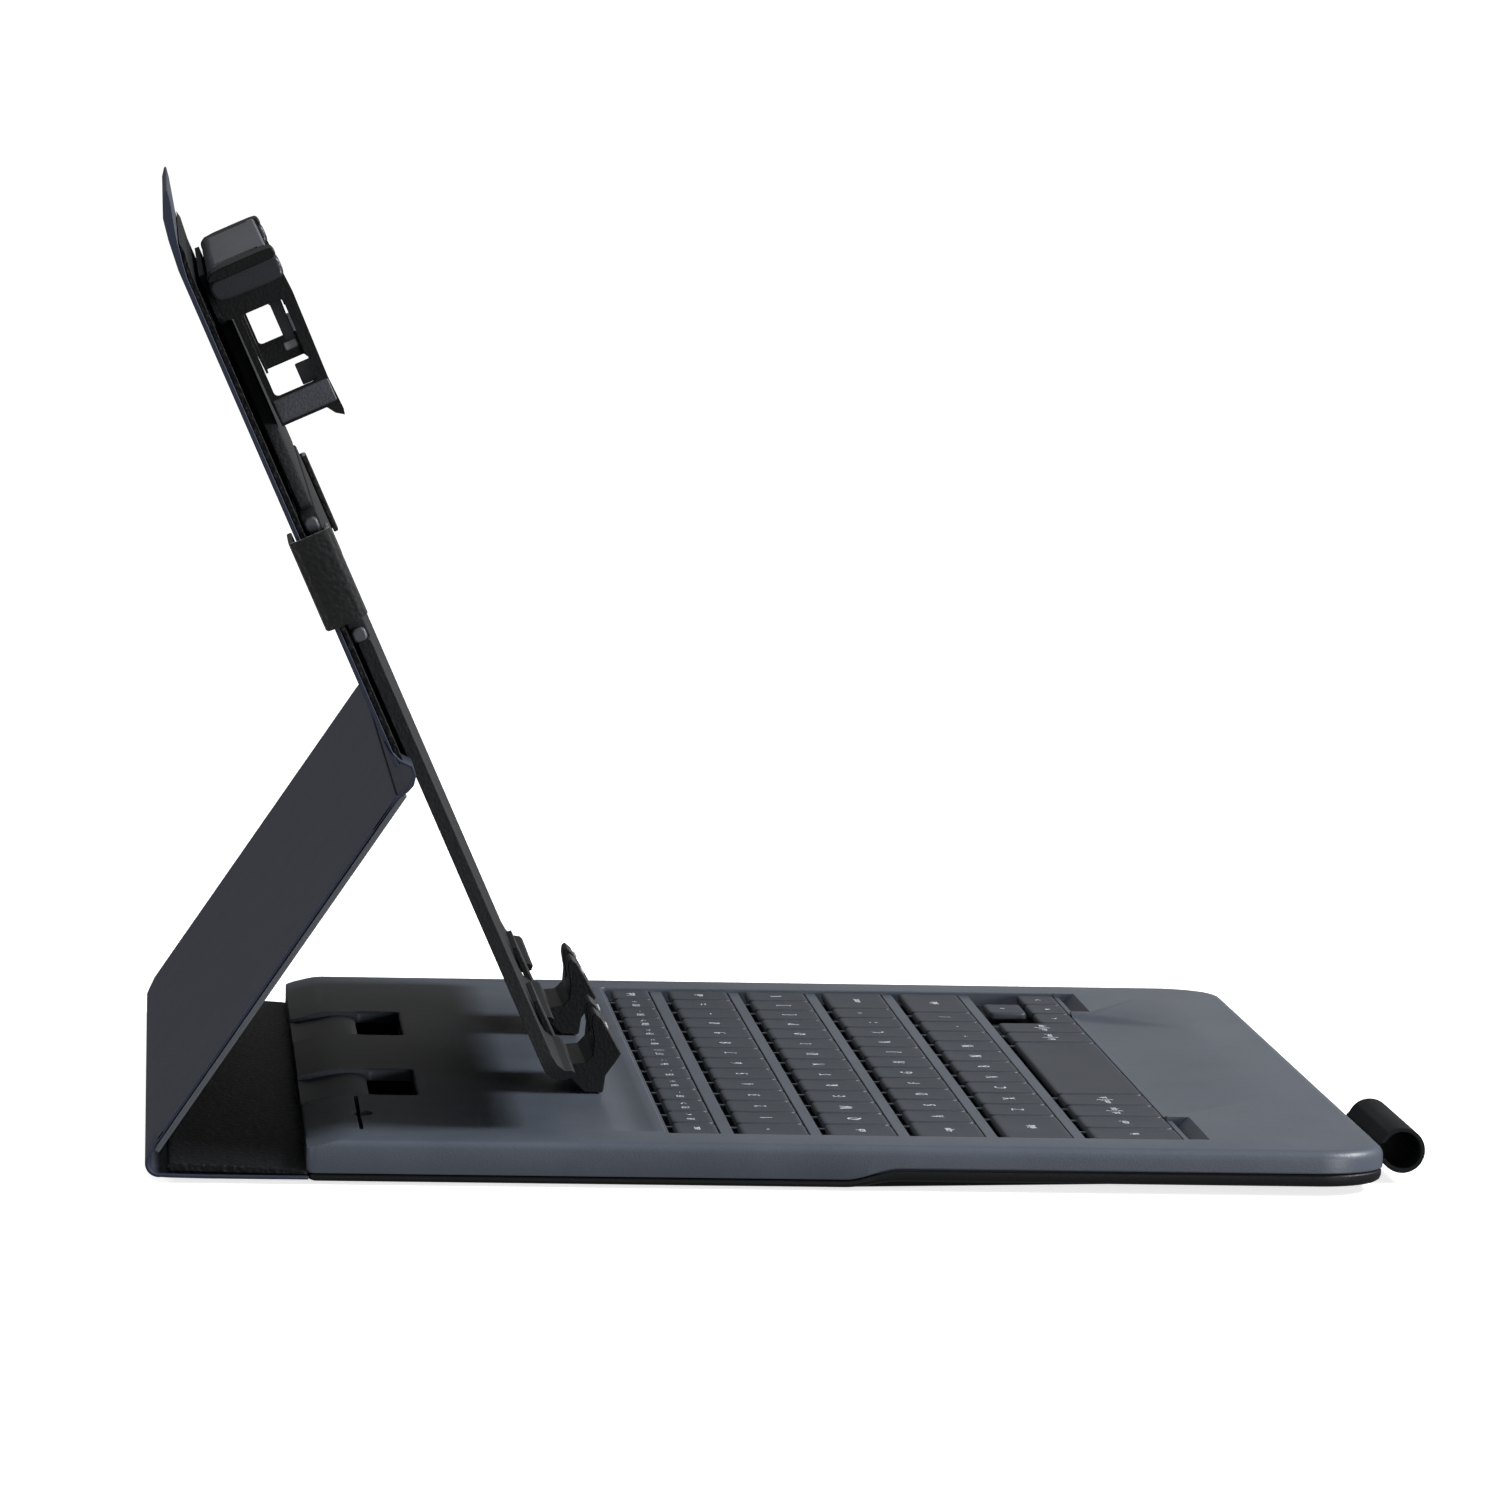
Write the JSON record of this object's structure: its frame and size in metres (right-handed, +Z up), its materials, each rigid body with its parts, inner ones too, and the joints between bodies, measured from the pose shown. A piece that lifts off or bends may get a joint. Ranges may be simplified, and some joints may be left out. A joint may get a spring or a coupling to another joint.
{
  "type": "tablet keyboard case",
  "caption": "Folding tablet keyboard case with low keys, a hinged three-panel cover standing as an easel and a sprung holder with corner grips and claws.",
  "frame": {"origin": "centre of the bounding box in X and Y, on the table plane", "axes": "+X the user's right along the hinges, +Y away from the user, +Z up"},
  "size_m": [0.2726, 0.2464, 0.1864],
  "materials": {
    "case_plastic": "fine satin grey",
    "shell_plastic": "matte near black",
    "key_plastic": "matte dark grey",
    "rubber": "matte black",
    "cover_skin": "satin coated cloth, dark blue grey",
    "cover_lining": "fine grained black",
    "edge_grey": "satin mid grey",
    "plate_plastic": "matte charcoal",
    "strap_fabric": "woven elastic, black",
    "metal": "bare metal",
    "board": "solder mask",
    "silicone": "translucent grey silicone",
    "lens": "clear lens"
  },
  "bodies": {
    "base": {"base_bottom_shell": "shell_plastic", "base_top_case": "case_plastic", "key_support_plate": "metal", "membrane_sheet": "silicone", "circuit_board": "board", "coin_cell_left": "metal", "coin_cell_right": "metal", "status_lens": "lens", "foot_front_left": "rubber", "foot_front_right": "rubber", "foot_rear_left": "rubber", "foot_rear_right": "rubber", "stop_magnet_left": "metal", "stop_magnet_right": "metal", "pen_loop": "strap_fabric", "spine_skin": "cover_skin", "spine_board": "cover_lining"},
    "battery_door": {"battery_door": "case_plastic"},
    "power_switch": {"power_switch": "rubber"},
    "connect_button": {"connect_button": "rubber"},
    "strut": {"strut_skin": "cover_skin", "strut_board": "edge_grey"},
    "cover": {"cover_skin": "cover_skin", "cover_board": "cover_lining", "hub_rail": "plate_plastic", "lower_back_plate": "plate_plastic", "claw_left": "rubber", "claw_right": "rubber", "strap_left": "strap_fabric", "strap_right": "strap_fabric", "slide_spring_left": "metal", "slide_spring_right": "metal"},
    "top_slide": {"slide_plate": "plate_plastic", "top_bar": "edge_grey"},
    "grip_left": {"grip_left": "rubber", "grip_pad_left": "plate_plastic"},
    "grip_right": {"grip_right": "rubber", "grip_pad_right": "plate_plastic"},
    "key_escape": {"key_escape": "key_plastic"},
    "keys_function_row": {"keys_function_row": "key_plastic"},
    "key_lock": {"key_lock": "key_plastic"},
    "keys_number_row": {"keys_number_row": "key_plastic"},
    "key_backspace": {"key_backspace": "key_plastic"},
    "key_tab": {"key_tab": "key_plastic"},
    "keys_upper_row": {"keys_upper_row": "key_plastic"},
    "key_caps": {"key_caps": "key_plastic"},
    "keys_home_row": {"keys_home_row": "key_plastic"},
    "key_enter": {"key_enter": "key_plastic"},
    "key_shift_left": {"key_shift_left": "key_plastic"},
    "keys_lower_row": {"keys_lower_row": "key_plastic"},
    "key_shift_right": {"key_shift_right": "key_plastic"},
    "keys_modifier_left": {"keys_modifier_left": "key_plastic"},
    "key_space": {"key_space": "key_plastic"},
    "keys_modifier_right": {"keys_modifier_right": "key_plastic"},
    "key_arrow_left": {"key_arrow_left": "key_plastic"},
    "key_arrow_down": {"key_arrow_down": "key_plastic"},
    "key_arrow_right": {"key_arrow_right": "key_plastic"},
    "key_arrow_up": {"key_arrow_up": "key_plastic"}
  },
  "joints": [
    {"name": "cover_fold", "type": "hinge", "parent": "base", "child": "strut", "pos_m": [0, 0.12137, 0.0029], "axis": [-1, 0, 0], "range_deg": [0, 120]},
    {"name": "crease_fold", "type": "hinge", "parent": "strut", "child": "cover", "pos_m": [0, 0.07677, 0.0764], "axis": [1, 0, 0], "range_deg": [0, 55]},
    {"name": "holder_slide", "type": "slide", "parent": "cover", "child": "top_slide", "axis": [0, 0.4147, 0.91], "range_m": [0, 0.01], "stiffness_N_per_m": 300, "springref_m": -0.01},
    {"name": "grip_left_slide", "type": "slide", "parent": "top_slide", "child": "grip_left", "axis": [-1, 0, 0], "range_m": [0, 0.008]},
    {"name": "grip_right_slide", "type": "slide", "parent": "top_slide", "child": "grip_right", "axis": [1, 0, 0], "range_m": [0, 0.008]},
    {"name": "battery_door_lift", "type": "slide", "parent": "base", "child": "battery_door", "axis": [0, 0, 1], "range_m": [0, 0.01]},
    {"name": "power_switch_slide", "type": "slide", "parent": "base", "child": "power_switch", "axis": [0, 1, 0], "range_m": [-0.002, 0.003]},
    {"name": "connect_button_press", "type": "slide", "parent": "base", "child": "connect_button", "axis": [-1, 0, 0], "range_m": [0, 0.0006], "stiffness_N_per_m": 300},
    {"name": "key_escape_press", "type": "slide", "parent": "base", "child": "key_escape", "axis": [0, 0, -1], "range_m": [0, 0.001], "stiffness_N_per_m": 300, "springref_m": -0.0003},
    {"name": "keys_function_row_press", "type": "slide", "parent": "base", "child": "keys_function_row", "axis": [0, 0, -1], "range_m": [0, 0.001], "stiffness_N_per_m": 600, "springref_m": -0.0003},
    {"name": "key_lock_press", "type": "slide", "parent": "base", "child": "key_lock", "axis": [0, 0, -1], "range_m": [0, 0.001], "stiffness_N_per_m": 300, "springref_m": -0.0003},
    {"name": "keys_number_row_press", "type": "slide", "parent": "base", "child": "keys_number_row", "axis": [0, 0, -1], "range_m": [0, 0.001], "stiffness_N_per_m": 600, "springref_m": -0.0003},
    {"name": "key_backspace_press", "type": "slide", "parent": "base", "child": "key_backspace", "axis": [0, 0, -1], "range_m": [0, 0.001], "stiffness_N_per_m": 300, "springref_m": -0.0003},
    {"name": "key_tab_press", "type": "slide", "parent": "base", "child": "key_tab", "axis": [0, 0, -1], "range_m": [0, 0.001], "stiffness_N_per_m": 300, "springref_m": -0.0003},
    {"name": "keys_upper_row_press", "type": "slide", "parent": "base", "child": "keys_upper_row", "axis": [0, 0, -1], "range_m": [0, 0.001], "stiffness_N_per_m": 600, "springref_m": -0.0003},
    {"name": "key_caps_press", "type": "slide", "parent": "base", "child": "key_caps", "axis": [0, 0, -1], "range_m": [0, 0.001], "stiffness_N_per_m": 300, "springref_m": -0.0003},
    {"name": "keys_home_row_press", "type": "slide", "parent": "base", "child": "keys_home_row", "axis": [0, 0, -1], "range_m": [0, 0.001], "stiffness_N_per_m": 600, "springref_m": -0.0003},
    {"name": "key_enter_press", "type": "slide", "parent": "base", "child": "key_enter", "axis": [0, 0, -1], "range_m": [0, 0.001], "stiffness_N_per_m": 300, "springref_m": -0.0003},
    {"name": "key_shift_left_press", "type": "slide", "parent": "base", "child": "key_shift_left", "axis": [0, 0, -1], "range_m": [0, 0.001], "stiffness_N_per_m": 300, "springref_m": -0.0003},
    {"name": "keys_lower_row_press", "type": "slide", "parent": "base", "child": "keys_lower_row", "axis": [0, 0, -1], "range_m": [0, 0.001], "stiffness_N_per_m": 600, "springref_m": -0.0003},
    {"name": "key_shift_right_press", "type": "slide", "parent": "base", "child": "key_shift_right", "axis": [0, 0, -1], "range_m": [0, 0.001], "stiffness_N_per_m": 300, "springref_m": -0.0003},
    {"name": "keys_modifier_left_press", "type": "slide", "parent": "base", "child": "keys_modifier_left", "axis": [0, 0, -1], "range_m": [0, 0.001], "stiffness_N_per_m": 600, "springref_m": -0.0003},
    {"name": "key_space_press", "type": "slide", "parent": "base", "child": "key_space", "axis": [0, 0, -1], "range_m": [0, 0.001], "stiffness_N_per_m": 400, "springref_m": -0.0003},
    {"name": "keys_modifier_right_press", "type": "slide", "parent": "base", "child": "keys_modifier_right", "axis": [0, 0, -1], "range_m": [0, 0.001], "stiffness_N_per_m": 600, "springref_m": -0.0003},
    {"name": "key_arrow_left_press", "type": "slide", "parent": "base", "child": "key_arrow_left", "axis": [0, 0, -1], "range_m": [0, 0.001], "stiffness_N_per_m": 300, "springref_m": -0.0003},
    {"name": "key_arrow_down_press", "type": "slide", "parent": "base", "child": "key_arrow_down", "axis": [0, 0, -1], "range_m": [0, 0.001], "stiffness_N_per_m": 300, "springref_m": -0.0003},
    {"name": "key_arrow_right_press", "type": "slide", "parent": "base", "child": "key_arrow_right", "axis": [0, 0, -1], "range_m": [0, 0.001], "stiffness_N_per_m": 300, "springref_m": -0.0003},
    {"name": "key_arrow_up_press", "type": "slide", "parent": "base", "child": "key_arrow_up", "axis": [0, 0, -1], "range_m": [0, 0.001], "stiffness_N_per_m": 300, "springref_m": -0.0003}
  ],
  "couplings": [
    {"joint": "crease_fold", "follows": "cover_fold", "ratio": 0.4545}
  ]
}
